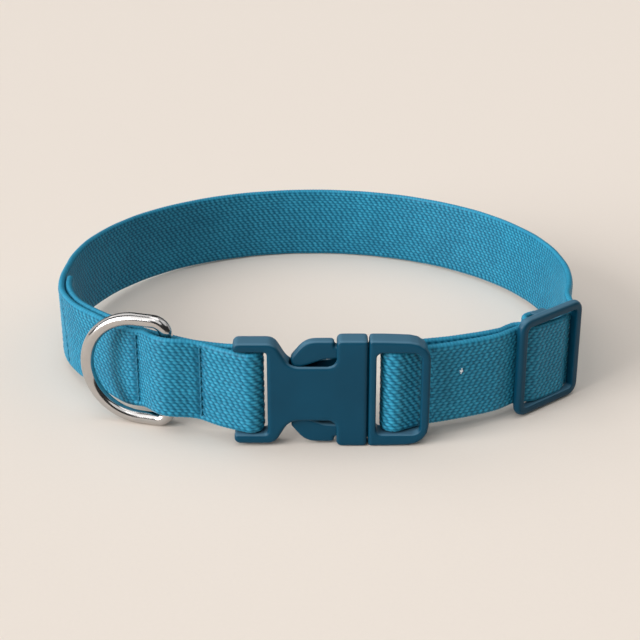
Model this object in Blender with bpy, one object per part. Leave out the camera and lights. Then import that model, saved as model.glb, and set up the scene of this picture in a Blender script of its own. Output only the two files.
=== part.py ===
"""Dog collar: woven webbing with a side release buckle, a three-bar slide and a lead ring.

Lengths are in metres, +Z is up and the buckle faces -Y. The plan of the loop is drawn about the
loop's middle, and the finished collar is moved so that the middle of its footprint is the origin.
"""

import math

import bmesh
import bpy
import numpy as np
from mathutils import Matrix, Vector

# Webbing
WEBBING_WIDTH = 0.025
WEBBING_THICKNESS = 0.002
LAYER_GAP = 0.0003
WRAP_CLEARANCE = 0.0003
SLOT_PLAY = 0.0003

# Loop of webbing as it lies, seen from above
LOOP_WIDTH = 0.1590
LOOP_FRONT_DEPTH = 0.0665
LOOP_BACK_DEPTH = 0.0773
LOOP_LEAN = 0.0013
# Bulges of the loop: how far out, at which angle from the front, and half the angle they take
BULGES = (
    (0.0026, math.radians(52.0), math.radians(32.0)),
    (0.0014, math.radians(-70.0), math.radians(22.0)),
)
DOUBLED_LENGTH = 0.088
# Lean of the webbing, positive with its top outwards, at angles from the front
LEAN_DEGREES = ((-180, 0), (-125, 0), (-92, -2), (-68, 3), (-50, 0), (180, 0))

# Side release buckle, measured from the seam between its halves
SEAM_FROM_MIDDLE = 0.01455
BUCKLE_INSET = 0.0018
BUCKLE_DEPTH = 0.0062
BUCKLE_EDGE = 0.0008
SEAM_GAP = 0.0003
SOCKET_LENGTH = 0.0376
SOCKET_ARM_LENGTH = 0.0095
SOCKET_ARM_HEIGHT = 0.0029
SOCKET_BAR_FROM_END = 0.0046
SOCKET_BAR_INSET = 0.0008
ARM_SLOT_RADIUS = 0.0009
ARM_END_RADIUS = 0.0016
SHOULDER_LENGTH = 0.0087
SHOULDER_STEP = 0.0008
WAIST_START = 0.0020
WAIST_LENGTH = 0.0062
WAIST_HALF_HEIGHT = 0.0085
WAIST_ENTRY_RADIUS = 0.0034
WAIST_RADIUS = 0.0045
SHOULDER_INNER_RADIUS = 0.0024
SHOULDER_RADIUS = 0.0014
POCKET_WALL = 0.0011
POCKET_SIDE_WALL = 0.0021
POCKET_CLEARANCE = 0.0003
PLUG_LENGTH = 0.0175
PLUG_FLANGE = 0.0024
PLUG_END_BAR = 0.0025
PLUG_END_BAR_DEPTH = 0.0029
PLUG_TAPER = 0.0005
PLUG_CORNER = 0.0060
PLUG_MOUTH_LIP = 0.0012
PLUG_TAPER_START = 0.0045
PLUG_TAPER_RADIUS = 0.0040
PLUG_WINDOW_LEFT_RADIUS = 0.0016
PLUG_WINDOW_RIGHT_RADIUS = 0.0022
PLUG_BAR_FROM_SEAM = 0.0076
PLUG_BAR_INSET = 0.0015
WRAP_BAR_RADIUS = 0.0017
PRONG_WIDTH = 0.0030
FINGER_PAD_RISE = 0.0017
PAD_SLOPE_LENGTH = 0.0042
PAD_TOP_RADIUS = 0.0060
PAD_TIP_ABOVE_WAIST = 0.0020
PAD_TIP_BELOW_WAIST = 0.0016
PAD_TIP_LENGTH = 0.0008
PAD_TIP_RADIUS = 0.0012
PAD_EDGE_RADIUS = 0.0008
PRONG_BEND_LENGTH = 0.0030
PRONG_BEND_DROP = 0.0010
PRONG_BEND_RADIUS = 0.0040
PRONG_EDGE = 0.0007
LATCH_GAP = 0.0006
TONGUE_END_GAP = 0.0014
TONGUE_HALF_HEIGHT = 0.0036
TONGUE_RADIUS = 0.0020

# Three-bar slide, placed by its distance from the buckle's seam along the loop
SLIDER_FROM_SEAM = 0.0591
SLIDER_TURN = math.radians(-10.5)
SLIDER_LENGTH = 0.0266
SLIDER_DEPTH = 0.0027
SLIDER_BAR = 0.0027
SLIDER_RAIL = 0.0027
SLIDER_PLAY = 0.0004
SEWN_FLAP_SLACK = 0.0001
SLIDER_CORNER = 0.0036
SLIDER_EDGE = 0.0010
SLIDER_WINDOW_RADIUS = 0.0012
SLIDER_STANDOFF = 0.0007
MIDDLE_BAR_WIDTH = 0.0032
MIDDLE_BAR_DEPTH = 0.0018
MIDDLE_BAR_LUG = 0.0060
MIDDLE_BAR_LUG_HEIGHT = 0.0005
MIDDLE_BAR_LUG_BACK = 0.0002
MIDDLE_BAR_LUG_EDGE = 0.0004
MIDDLE_CREST = 0.0011
MIDDLE_FLATNESS = 5.0
SEWN_FLAP_LENGTH = 0.0050
INNER_LAYER_AT_PLUG = 0.0048
INNER_LAYER_AT_SLIDER = 0.0031

# Lead ring, placed by its distance from the socket's bar along the loop
RING_FROM_BAR = 0.0254
RING_WIRE = 0.0038
RING_INNER_WIDTH = 0.0275
RING_LEG_LENGTH = 0.0092
RING_CORNER = 0.0040
RING_OPEN_ANGLE = math.radians(13.0)
RING_CLEARANCE = 0.0003
TUNNEL_SLACK = 0.0002
TUNNEL_LENGTH = 0.0214
TUNNEL_LEAD = 0.0030
TUNNEL_INWARD = 0.0007
INNER_LAYER_DROP = 0.0022
RING_LIFT = 0.0016
RING_LIFT_REACH = 0.019

# Shares of the slide's length, from its middle, where the runs of webbing beside it end
SLIDER_RUN_IN = 0.85
SLIDER_RUN_OUT = 0.70
SLIDER_RETURN = 0.58

# Fineness of the facets
LOOP_STEP = 0.0060
TUNNEL_STEP = 0.0016
ROUTE_STEP = 0.0030
ANGLE_STEP = 0.001
WRAP_STEPS = 10
CORNER_STEPS = 4
BAR_SIDES = 20
WIRE_SIDES = 14
RING_STEPS = 28

# Sizes that follow from the ones above
HALF_WEBBING = WEBBING_WIDTH / 2
LAYER_PITCH = WEBBING_THICKNESS + LAYER_GAP
SLOT_HALF = HALF_WEBBING + SLOT_PLAY
WRAP_RADIUS = WRAP_BAR_RADIUS + WRAP_CLEARANCE + WEBBING_THICKNESS / 2
ARM_HALF = SLOT_HALF + SOCKET_ARM_HEIGHT
SHOULDER_HALF = ARM_HALF + SHOULDER_STEP
HALF_DEPTH = BUCKLE_DEPTH / 2
POCKET_HALF_DEPTH = HALF_DEPTH - POCKET_WALL
POCKET_HALF_HEIGHT = SHOULDER_HALF - POCKET_SIDE_WALL
POCKET_LEFT = -SOCKET_LENGTH + SOCKET_ARM_LENGTH + WAIST_LENGTH
SLIDER_SLOT_HALF = HALF_WEBBING + SLIDER_PLAY
SLIDER_HALF_HEIGHT = SLIDER_SLOT_HALF + SLIDER_RAIL
FLAP_PITCH = LAYER_PITCH + SEWN_FLAP_SLACK
FRONT_LIFT = SHOULDER_HALF - HALF_WEBBING
RING_HALF = RING_INNER_WIDTH / 2 + RING_WIRE / 2
BUCKLE_PLANE = -(LOOP_FRONT_DEPTH - BUCKLE_INSET)


# Plan of the loop

def hump(distance, half_length):
    """Smooth hump from 0 at the half length to 1 in the middle."""
    if abs(distance) >= half_length:
        return 0.0
    return (1 + math.cos(math.pi * distance / half_length)) / 2


def loop_point(angle, out=0.0):
    """Plan point at an angle from the front, positive to the right, moved outwards."""
    near = (angle + math.pi) % (2 * math.pi) - math.pi
    bulge = sum(rise * hump(near - middle, half) for rise, middle, half in BULGES)
    depth = LOOP_FRONT_DEPTH if math.cos(angle) > 0 else LOOP_BACK_DEPTH
    x = LOOP_WIDTH / 2 * math.sin(angle)
    y = -depth * math.cos(angle) - LOOP_LEAN * math.sin(angle)
    direction = Vector((LOOP_WIDTH / 2 * math.cos(angle), depth * math.sin(angle)))
    return Vector((x, y)) + outward(direction) * (out + bulge)


def loop_tangent(angle):
    """Change of the plan point with the angle, not yet a unit vector."""
    return (loop_point(angle + ANGLE_STEP) - loop_point(angle - ANGLE_STEP)) / (2 * ANGLE_STEP)


def outward(direction):
    """Unit vector to the right hand of a plan direction, which is outwards on the loop."""
    return Vector((direction.y, -direction.x)).normalized()


def walk(angle, distance):
    """Angle reached by walking a distance along the loop."""
    steps = 400
    for _ in range(steps):
        angle += distance / steps / loop_tangent(angle).length
    return angle


def angle_at(x):
    """Angle of the front part of the loop at a sideways position."""
    return math.asin(2 * x / LOOP_WIDTH)


def webbing_height(point):
    """Height of the webbing's middle: lifted by the buckle and the ring in front, low behind."""
    share = (LOOP_BACK_DEPTH - point.y) / (LOOP_BACK_DEPTH - BUCKLE_PLANE)
    lift = RING_LIFT * hump((point - loop_point(RING_ANGLE)).length, RING_LIFT_REACH)
    return HALF_WEBBING + FRONT_LIFT * min(max(share, 0.0), 1.0) + lift


def webbing_up(point):
    """Direction across the webbing, from its lower to its upper edge."""
    angle = math.degrees(math.atan2(point.x, -point.y))
    lean = 0.0
    for (start, first), (end, last) in zip(LEAN_DEGREES, LEAN_DEGREES[1:]):
        if start <= angle < end:
            share = (1 - math.cos(math.pi * (angle - start) / (end - start))) / 2
            lean = math.radians(first + (last - first) * share)
    depth = LOOP_FRONT_DEPTH if point.y < 0 else LOOP_BACK_DEPTH
    out = Vector((4 * point.x / LOOP_WIDTH ** 2, point.y / depth ** 2)).normalized()
    return Vector((out.x * math.sin(lean), out.y * math.sin(lean), math.cos(lean)))


class Place:
    """A straight hard piece in the plan: points are given along it and outwards from it."""

    def __init__(self, origin, direction):
        self.origin = origin
        self.direction = direction.normalized()
        self.out = outward(direction)

    def at(self, along, out):
        return self.origin + self.direction * along + self.out * out

    def turn(self):
        return math.atan2(self.direction.y, self.direction.x)

    def arc(self, along, out, radius, first, last, steps=WRAP_STEPS):
        """Points of an arc round a bar; angles run from the direction towards outwards."""
        angles = np.linspace(math.radians(first), math.radians(last), steps + 1)
        return [self.at(along + radius * math.cos(a), out + radius * math.sin(a)) for a in angles]


BUCKLE = Place(Vector((SEAM_FROM_MIDDLE, BUCKLE_PLANE)), Vector((1.0, 0.0)))
SOCKET_BAR_ALONG = -SOCKET_LENGTH + SOCKET_BAR_FROM_END
RING_ANGLE = walk(angle_at(SEAM_FROM_MIDDLE + SOCKET_BAR_ALONG), -RING_FROM_BAR)
SLIDER_ANGLE = walk(angle_at(SEAM_FROM_MIDDLE), SLIDER_FROM_SEAM)
SLIDER_DIRECTION = Matrix.Rotation(SLIDER_TURN, 2) @ loop_tangent(SLIDER_ANGLE)
SLIDER = Place(loop_point(SLIDER_ANGLE, SLIDER_STANDOFF), SLIDER_DIRECTION)

# The middle bar lies behind the strap and its own sewn turn of webbing
MIDDLE_WRAP_RADIUS = MIDDLE_BAR_DEPTH / 2 + WRAP_CLEARANCE + WEBBING_THICKNESS / 2
MIDDLE_BAR_OUT = MIDDLE_CREST - FLAP_PITCH - MIDDLE_WRAP_RADIUS
MIDDLE_BAR_ROUND = (MIDDLE_BAR_WIDTH - MIDDLE_BAR_DEPTH) / 2

# The ring's bar lies between the doubled layers, which part on both sides of it
RING_BAR_OUT = RING_WIRE / 2 + RING_CLEARANCE - LAYER_PITCH + WEBBING_THICKNESS / 2 - TUNNEL_INWARD
TUNNEL_RISE = RING_BAR_OUT + RING_WIRE / 2 + RING_CLEARANCE + TUNNEL_SLACK + WEBBING_THICKNESS / 2


# Route of the webbing

def loop_run(first, last, out, step=LOOP_STEP):
    """Points along the loop between two angles, at a distance outwards given by a function."""
    count = max(2, round(abs(last - first) * LOOP_WIDTH / 2 / step))
    return [loop_point(angle, out(angle)) for angle in np.linspace(first, last, count + 1)]


def distance_between(first, last):
    """Rough walking distance between two near angles, positive to the right."""
    return (last - first) * loop_tangent((first + last) / 2).length


def tunnel_out(angle):
    """Rise of the outer layer over the ring's bar."""
    return TUNNEL_RISE * hump(distance_between(RING_ANGLE, angle), TUNNEL_LENGTH / 2)


def tunnel_in(angle):
    """Distance out of the inner layer, which gives way behind the ring's bar."""
    return -LAYER_PITCH - TUNNEL_INWARD * hump(distance_between(RING_ANGLE, angle), TUNNEL_LENGTH / 2)


def through_slider(along):
    """Distance out of the strap's middle as it passes the slide, in the slide's own frame."""
    behind_rails = -WRAP_CLEARANCE - WEBBING_THICKNESS / 2
    share = 1 - (1 - hump(along, SLIDER_LENGTH / 2 - SLIDER_BAR)) ** MIDDLE_FLATNESS
    return behind_rails + (MIDDLE_CREST - behind_rails) * share


def left_inner_layer():
    """From the sewn end on the left side to the socket's bar."""
    bar_angle = angle_at(SEAM_FROM_MIDDLE + SOCKET_BAR_ALONG)
    first = walk(bar_angle, -DOUBLED_LENGTH)
    tunnel_start = walk(RING_ANGLE, -TUNNEL_LENGTH / 2)
    last = walk(RING_ANGLE, TUNNEL_LENGTH / 2)
    side = loop_run(first, walk(tunnel_start, -TUNNEL_LEAD), lambda angle: -LAYER_PITCH)
    return side + loop_run(tunnel_start, last, tunnel_in, TUNNEL_STEP)


def socket_wrap():
    """Turn round the socket's bar, from the neck side to the outside."""
    return BUCKLE.arc(SOCKET_BAR_ALONG, -SOCKET_BAR_INSET, WRAP_RADIUS, -90, 90)


def main_run():
    """Outer layer from the socket round the neck to the slide."""
    near_seam = walk(RING_ANGLE, TUNNEL_LENGTH / 2)
    far_seam = walk(RING_ANGLE, -TUNNEL_LENGTH / 2)
    slider_start = walk(SLIDER_ANGLE, SLIDER_LENGTH * SLIDER_RUN_IN) - 2 * math.pi
    tunnel = loop_run(near_seam, far_seam, tunnel_out, TUNNEL_STEP)
    loop = loop_run(walk(far_seam, -TUNNEL_LEAD), slider_start, lambda angle: 0.0)
    return tunnel + loop


def slider_run():
    """Through the slide from the neck's side to the buckle's side."""
    half = SLIDER_LENGTH / 2
    return [SLIDER.at(p, through_slider(p)) for p in np.linspace(half, -half, 15)]


def right_outer_layer():
    """From the slide to the plug's end bar."""
    first = walk(SLIDER_ANGLE, -SLIDER_LENGTH * SLIDER_RUN_OUT)
    last = angle_at(SEAM_FROM_MIDDLE + PLUG_LENGTH - PLUG_END_BAR / 2)
    return loop_run(first, last, lambda angle: -SLOT_PLAY)


def plug_wrap():
    """Turn round the plug's middle bar, from the outside to the neck side."""
    return BUCKLE.arc(PLUG_BAR_FROM_SEAM, -PLUG_BAR_INSET, WRAP_RADIUS, 80, 270)


def right_inner_layer():
    """From the plug back to the slide, under the outer layer."""
    first = angle_at(SEAM_FROM_MIDDLE + PLUG_LENGTH)
    last = walk(SLIDER_ANGLE, -SLIDER_LENGTH * SLIDER_RETURN)

    def out(angle):
        share = (angle - first) / (last - first)
        return -INNER_LAYER_AT_PLUG + (INNER_LAYER_AT_PLUG - INNER_LAYER_AT_SLIDER) * share

    return loop_run(first, last, out)


def slider_wrap():
    """Under the strap and round the slide's middle bar, then back as the short sewn flap."""
    lead_in = []
    for along in np.linspace(-SLIDER_LENGTH / 2, -MIDDLE_BAR_WIDTH / 2, 9):
        lead_in.append(SLIDER.at(along, through_slider(along) - FLAP_PITCH))
    turn = SLIDER.arc(MIDDLE_BAR_ROUND, MIDDLE_BAR_OUT, MIDDLE_WRAP_RADIUS, 90, -90)
    lowest = MIDDLE_BAR_OUT - MIDDLE_WRAP_RADIUS
    flap_end = through_slider(-SEWN_FLAP_LENGTH) - 2 * FLAP_PITCH
    flap = [SLIDER.at(-MIDDLE_BAR_WIDTH, lowest), SLIDER.at(-SEWN_FLAP_LENGTH, flap_end)]
    return lead_in + turn + flap


def lowered(point):
    """Point of the inner layer, given its drop below the outer one at the ring."""
    drop = INNER_LAYER_DROP * hump((point - loop_point(RING_ANGLE)).length, RING_LIFT_REACH)
    return Vector((point.x, point.y, -drop))


def strap_route():
    """The middle line of the whole strip of webbing, end to end: plan and height above the usual."""
    points = socket_wrap() + main_run() + slider_run()
    points += right_outer_layer() + plug_wrap() + right_inner_layer() + slider_wrap()
    return smooth([lowered(point) for point in left_inner_layer()] + [point.to_3d() for point in points])


def smooth(points):
    """Points along the centripetal Catmull-Rom curve through the given ones."""
    ends = [2 * points[0] - points[1]] + points + [2 * points[-1] - points[-2]]
    result = []
    for a, b, c, d in zip(ends, ends[1:], ends[2:], ends[3:]):
        steps = max(1, round((c - b).length / ROUTE_STEP))
        result += [catmull_rom(a, b, c, d, step / steps) for step in range(steps)]
    return result + [points[-1]]


def catmull_rom(a, b, c, d, share):
    """One point between b and c."""
    t1 = math.sqrt((b - a).length)
    t2 = t1 + math.sqrt((c - b).length)
    t3 = t2 + math.sqrt((d - c).length)
    t = t1 + (t2 - t1) * share
    ab = a + (b - a) * (t / t1)
    bc = b + (c - b) * ((t - t1) / (t2 - t1))
    cd = c + (d - c) * ((t - t2) / (t3 - t2))
    abc = ab + (bc - ab) * (t / t2)
    bcd = bc + (cd - bc) * ((t - t1) / (t3 - t1))
    return abc + (bcd - abc) * ((t - t1) / (t2 - t1))


# Mesh helpers

def clear_scene():
    for obj in list(bpy.data.objects):
        bpy.data.objects.remove(obj, do_unlink=True)


def make_material(name, colour, roughness, metallic=0.0):
    material = bpy.data.materials.new(name)
    material.use_nodes = True
    shader = material.node_tree.nodes["Principled BSDF"]
    shader.inputs["Base Color"].default_value = (*colour, 1.0)
    shader.inputs["Roughness"].default_value = roughness
    shader.inputs["Metallic"].default_value = metallic
    return material


def mesh_object(name, bm, material=None):
    """Object from a bmesh whose faces are turned outwards."""
    bmesh.ops.recalc_face_normals(bm, faces=bm.faces)
    mesh = bpy.data.meshes.new(name)
    bm.to_mesh(mesh)
    bm.free()
    obj = bpy.data.objects.new(name, mesh)
    bpy.context.collection.objects.link(obj)
    if material:
        mesh.materials.append(material)
    return obj


def rounded(corners):
    """Outline from corners given as (x, z, radius), with an arc at each rounded corner."""
    outline = []
    for index, (x, z, radius) in enumerate(corners):
        corner = Vector((x, z))
        before = (Vector(corners[index - 1][:2]) - corner).normalized()
        after = (Vector(corners[(index + 1) % len(corners)][:2]) - corner).normalized()
        if radius == 0:
            outline.append(corner)
            continue
        half = before.angle(after) / 2
        reach = radius / math.tan(half)
        centre = corner + (before + after).normalized() * (radius / math.sin(half))
        start = corner + before * reach - centre
        sweep = start.angle_signed(corner + after * reach - centre)
        for step in range(CORNER_STEPS + 1):
            turn = -sweep * step / CORNER_STEPS
            x_turned = start.x * math.cos(turn) - start.y * math.sin(turn)
            z_turned = start.x * math.sin(turn) + start.y * math.cos(turn)
            outline.append(centre + Vector((x_turned, z_turned)))
    return outline


def mirrored(corners):
    """Corners of the upper half, left to right, completed with the lower half."""
    return corners + [(x, -z, radius) for x, z, radius in reversed(corners)]


def plate(name, outline, front, back, material=None):
    """Solid plate from an outline in X and Z, between two distances out, where -Y is out."""
    bm = bmesh.new()
    near = [bm.verts.new((p.x, -front, p.y)) for p in outline]
    far = [bm.verts.new((p.x, -back, p.y)) for p in outline]
    bm.faces.new(near)
    bm.faces.new(list(reversed(far)))
    for index in range(len(outline)):
        after = (index + 1) % len(outline)
        bm.faces.new((near[index], far[index], far[after], near[after]))
    return mesh_object(name, bm, material)


def upright_bar(name, radius, half_height, along, out):
    """Round bar parallel to Z."""
    bm = bmesh.new()
    bmesh.ops.create_cone(
        bm, cap_ends=True, segments=BAR_SIDES, radius1=radius, radius2=radius, depth=2 * half_height
    )
    bmesh.ops.translate(bm, verts=bm.verts, vec=(along, -out, 0))
    return mesh_object(name, bm)


def soften(obj, width, segments=2):
    """Round the hard edges of a moulded piece."""
    bevel = obj.modifiers.new("soft_edges", "BEVEL")
    bevel.width = width
    bevel.segments = segments
    bevel.limit_method = "ANGLE"
    bevel.angle_limit = math.radians(50)


def combine(obj, tool, operation):
    """Join a tool shape to a piece, or cut it away."""
    boolean = obj.modifiers.new(tool.name, "BOOLEAN")
    boolean.operation = operation
    boolean.object = tool
    boolean.solver = "EXACT"
    tool.parent = obj
    tool.hide_render = True
    tool.display_type = "WIRE"


def shade_round(obj):
    obj.data.shade_smooth()
    obj.data.set_sharp_from_angle(angle=math.radians(35))


# Sub-parts

def build_strap(material):
    """One strip of webbing, swept upright along its route."""
    route = strap_route()
    bm = bmesh.new()
    rings = []
    for index, point in enumerate(route):
        before = route[max(index - 1, 0)]
        after = route[min(index + 1, len(route) - 1)]
        along = (after - before).to_2d().to_3d()
        up = webbing_up(point) * HALF_WEBBING
        side = along.cross(up).normalized() * (WEBBING_THICKNESS / 2)
        middle = Vector((point.x, point.y, webbing_height(point.to_2d()) + point.z))
        corners = [middle + side - up, middle + side + up, middle - side + up, middle - side - up]
        rings.append([bm.verts.new(corner) for corner in corners])
    for ring, following in zip(rings, rings[1:]):
        for index in range(4):
            after = (index + 1) % 4
            bm.faces.new((ring[index], ring[after], following[after], following[index]))
    bm.faces.new(rings[0])
    bm.faces.new(rings[-1])
    strap = mesh_object("strap", bm, material)
    shade_round(strap)
    return strap


def socket_outline():
    """Front view of the socket: two arms, a waist under each finger pad and the shoulders."""
    body_left = -SOCKET_LENGTH + SOCKET_ARM_LENGTH
    waist_end = body_left + WAIST_LENGTH
    upper = [
        (body_left, SLOT_HALF, ARM_SLOT_RADIUS),
        (-SOCKET_LENGTH, SLOT_HALF, ARM_SLOT_RADIUS),
        (-SOCKET_LENGTH, ARM_HALF, ARM_END_RADIUS),
        (body_left + WAIST_START, ARM_HALF, WAIST_ENTRY_RADIUS),
        (waist_end, WAIST_HALF_HEIGHT, WAIST_RADIUS),
        (-SHOULDER_LENGTH, WAIST_HALF_HEIGHT, SHOULDER_INNER_RADIUS),
        (-SHOULDER_LENGTH, SHOULDER_HALF, SHOULDER_RADIUS),
        (0.0, SHOULDER_HALF, 0.0),
    ]
    return rounded(mirrored(upper))


def build_socket(material):
    """Female half of the buckle, hollow between its two faces."""
    socket = plate("buckle_socket", socket_outline(), HALF_DEPTH, -HALF_DEPTH, material)
    soften(socket, BUCKLE_EDGE)
    pocket = plate(
        "pocket",
        rounded(
            mirrored(
                [
                    (POCKET_LEFT, POCKET_HALF_HEIGHT, 0.0),
                    (SEAM_GAP, POCKET_HALF_HEIGHT, 0.0),
                ]
            )
        ),
        POCKET_HALF_DEPTH,
        -POCKET_HALF_DEPTH,
    )
    combine(socket, pocket, "DIFFERENCE")
    bar_half = SLOT_HALF + SOCKET_ARM_HEIGHT / 2
    bar = upright_bar("socket_bar", WRAP_BAR_RADIUS, bar_half, SOCKET_BAR_ALONG, -SOCKET_BAR_INSET)
    combine(socket, bar, "UNION")
    shade_round(socket)
    return socket


def plug_frame_outline():
    """Front view of the plug's frame, a little lower at its end."""
    upper = [
        (SEAM_GAP, SHOULDER_HALF, 0.0),
        (PLUG_TAPER_START, SHOULDER_HALF, PLUG_TAPER_RADIUS),
        (PLUG_LENGTH, SHOULDER_HALF - PLUG_TAPER, PLUG_CORNER),
    ]
    return rounded(mirrored(upper))


def prong_outline(side):
    """One sprung prong with its finger pad, above the tongue for side 1 and below for side -1."""
    outer = POCKET_HALF_HEIGHT - POCKET_CLEARANCE
    inner = outer - PRONG_WIDTH
    pad_right = -SHOULDER_LENGTH - LATCH_GAP
    pad_left = POCKET_LEFT + POCKET_CLEARANCE
    pad_top = outer + FINGER_PAD_RISE
    corners = [
        (SEAM_GAP + PLUG_FLANGE / 2, inner, 0.0),
        (SEAM_GAP + PLUG_FLANGE / 2, outer, 0.0),
        (pad_right, outer, 0.0),
        (pad_right, pad_top, PAD_EDGE_RADIUS),
        (pad_left + PAD_SLOPE_LENGTH, pad_top, PAD_TOP_RADIUS),
        (pad_left, WAIST_HALF_HEIGHT + PAD_TIP_ABOVE_WAIST, PAD_TIP_RADIUS),
        (pad_left + PAD_TIP_LENGTH, WAIST_HALF_HEIGHT - PAD_TIP_BELOW_WAIST, PAD_EDGE_RADIUS),
        (pad_right - PRONG_BEND_LENGTH, inner - PRONG_BEND_DROP, PRONG_BEND_RADIUS),
    ]
    return rounded([(x, side * z, radius) for x, z, radius in corners])


def build_plug(material):
    """Male half of the buckle: frame, middle bar, two prongs and the guide tongue."""
    plug = plate("buckle_plug", plug_frame_outline(), HALF_DEPTH, -HALF_DEPTH, material)
    soften(plug, BUCKLE_EDGE)
    window_right = PLUG_LENGTH - PLUG_END_BAR
    window = plate(
        "plug_window",
        rounded(
            mirrored(
                [
                    (PLUG_FLANGE, SLOT_HALF, PLUG_WINDOW_LEFT_RADIUS),
                    (window_right, SLOT_HALF, PLUG_WINDOW_RIGHT_RADIUS),
                ]
            )
        ),
        HALF_DEPTH + BUCKLE_EDGE,
        -HALF_DEPTH - BUCKLE_EDGE,
    )
    combine(plug, window, "DIFFERENCE")
    relief = plate(
        "webbing_relief",
        rounded(mirrored([(PLUG_LENGTH / 2, SLOT_HALF, 0.0), (PLUG_LENGTH * 1.2, SLOT_HALF, 0.0)])),
        HALF_DEPTH - PLUG_END_BAR_DEPTH,
        -HALF_DEPTH - BUCKLE_EDGE,
    )
    combine(plug, relief, "DIFFERENCE")
    bar_half = SLOT_HALF + SOCKET_ARM_HEIGHT / 2
    bar = upright_bar("plug_bar", WRAP_BAR_RADIUS, bar_half, PLUG_BAR_FROM_SEAM, -PLUG_BAR_INSET)
    combine(plug, bar, "UNION")
    pad_half_depth = POCKET_HALF_DEPTH - POCKET_CLEARANCE
    mouth = POCKET_HALF_HEIGHT - POCKET_CLEARANCE
    lip_outline = mirrored([(-PLUG_MOUTH_LIP, mouth, 0.0), (SEAM_GAP + PLUG_FLANGE / 2, mouth, 0.0)])
    lip = plate("mouth_lip", rounded(lip_outline), pad_half_depth, -pad_half_depth)
    combine(plug, lip, "UNION")
    for name, side in (("upper_prong", 1), ("lower_prong", -1)):
        prong = plate(name, prong_outline(side), pad_half_depth, -pad_half_depth)
        soften(prong, PRONG_EDGE)
        combine(plug, prong, "UNION")
    tongue = plate(
        "tongue",
        rounded(
            mirrored(
                [
                    (POCKET_LEFT + TONGUE_END_GAP, TONGUE_HALF_HEIGHT, TONGUE_RADIUS),
                    (SEAM_GAP + PLUG_FLANGE / 2, TONGUE_HALF_HEIGHT, 0.0),
                ]
            )
        ),
        pad_half_depth,
        -pad_half_depth,
    )
    combine(plug, tongue, "UNION")
    shade_round(plug)
    return plug


def box_outline(half_length, half_height, radius):
    return rounded(mirrored([(-half_length, half_height, radius), (half_length, half_height, radius)]))


def build_slider(material):
    """Three-bar slide: two outer bars in front of the strap, the middle bar behind it."""
    middle_edge = MIDDLE_BAR_DEPTH * 2 / 5
    outer = box_outline(SLIDER_LENGTH / 2, SLIDER_HALF_HEIGHT, SLIDER_CORNER)
    slider = plate("slider", outer, SLIDER_DEPTH, 0.0, material)
    soften(slider, SLIDER_EDGE)
    half_window = SLIDER_LENGTH / 2 - SLIDER_BAR
    hole = box_outline(half_window, SLIDER_SLOT_HALF, SLIDER_WINDOW_RADIUS)
    window = plate("slider_window", hole, 2 * SLIDER_DEPTH, -SLIDER_DEPTH)
    combine(slider, window, "DIFFERENCE")
    bar_back = MIDDLE_BAR_OUT - MIDDLE_BAR_DEPTH / 2
    for name, side in (("upper_lug", 1), ("lower_lug", -1)):
        low = side * SLIDER_SLOT_HALF
        high = side * (SLIDER_SLOT_HALF + MIDDLE_BAR_LUG_HEIGHT)
        half = MIDDLE_BAR_LUG / 2
        corners = [(-half, low, 0.0), (-half, high, 0.0), (half, high, 0.0), (half, low, 0.0)]
        lug = plate(name, rounded(corners), SLIDER_DEPTH / 2, bar_back - MIDDLE_BAR_LUG_BACK)
        soften(lug, MIDDLE_BAR_LUG_EDGE, 1)
        combine(slider, lug, "UNION")
    bar = plate(
        "middle_bar",
        box_outline(MIDDLE_BAR_WIDTH / 2, SLIDER_SLOT_HALF + MIDDLE_BAR_LUG_HEIGHT / 2, 0.0),
        MIDDLE_BAR_OUT + MIDDLE_BAR_DEPTH / 2,
        bar_back,
    )
    soften(bar, middle_edge)
    combine(slider, bar, "UNION")
    shade_round(slider)
    return slider


def ring_path():
    """Middle line of the ring's wire, from its bar out to the left, in X and Z."""
    straight = RING_LEG_LENGTH
    path = []
    for side, order in ((1, 1), (-1, -1)):
        corner = []
        for step in range(CORNER_STEPS + 1):
            turn = math.pi / 2 * step / CORNER_STEPS
            x = -RING_CORNER * (1 - math.cos(turn))
            z = side * (RING_HALF - RING_CORNER * (1 - math.sin(turn)))
            corner.append(Vector((x, z)))
        path.append(corner[::order])
    bow = []
    for step in range(RING_STEPS + 1):
        turn = math.pi / 2 + math.pi * step / RING_STEPS
        bow.append(Vector((-straight + RING_HALF * math.cos(turn), RING_HALF * math.sin(turn))))
    return path[0] + bow + path[1]


def build_ring(material):
    """Welded wire ring; its own Z axis is the middle of its straight bar."""
    path = ring_path()
    bm = bmesh.new()
    rings = []
    for index, point in enumerate(path):
        along = path[(index + 1) % len(path)] - path[index - 1]
        inward = Vector((-along.y, along.x)).normalized()
        ring = []
        for side in range(WIRE_SIDES):
            turn = 2 * math.pi * side / WIRE_SIDES
            reach = inward * (RING_WIRE / 2 * math.cos(turn))
            depth = RING_WIRE / 2 * math.sin(turn)
            ring.append(bm.verts.new((point.x + reach.x, depth, point.y + reach.y)))
        rings.append(ring)
    for index, ring in enumerate(rings):
        following = rings[(index + 1) % len(rings)]
        for side in range(WIRE_SIDES):
            after = (side + 1) % WIRE_SIDES
            bm.faces.new((ring[side], ring[after], following[after], following[side]))
    ring_object = mesh_object("lead_ring", bm, material)
    shade_round(ring_object)
    return ring_object


# Assembly

def put(obj, root, plan, height, turn):
    obj.parent = root
    obj.location = (plan.x, plan.y, height)
    obj.rotation_euler = (0.0, 0.0, turn)


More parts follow.
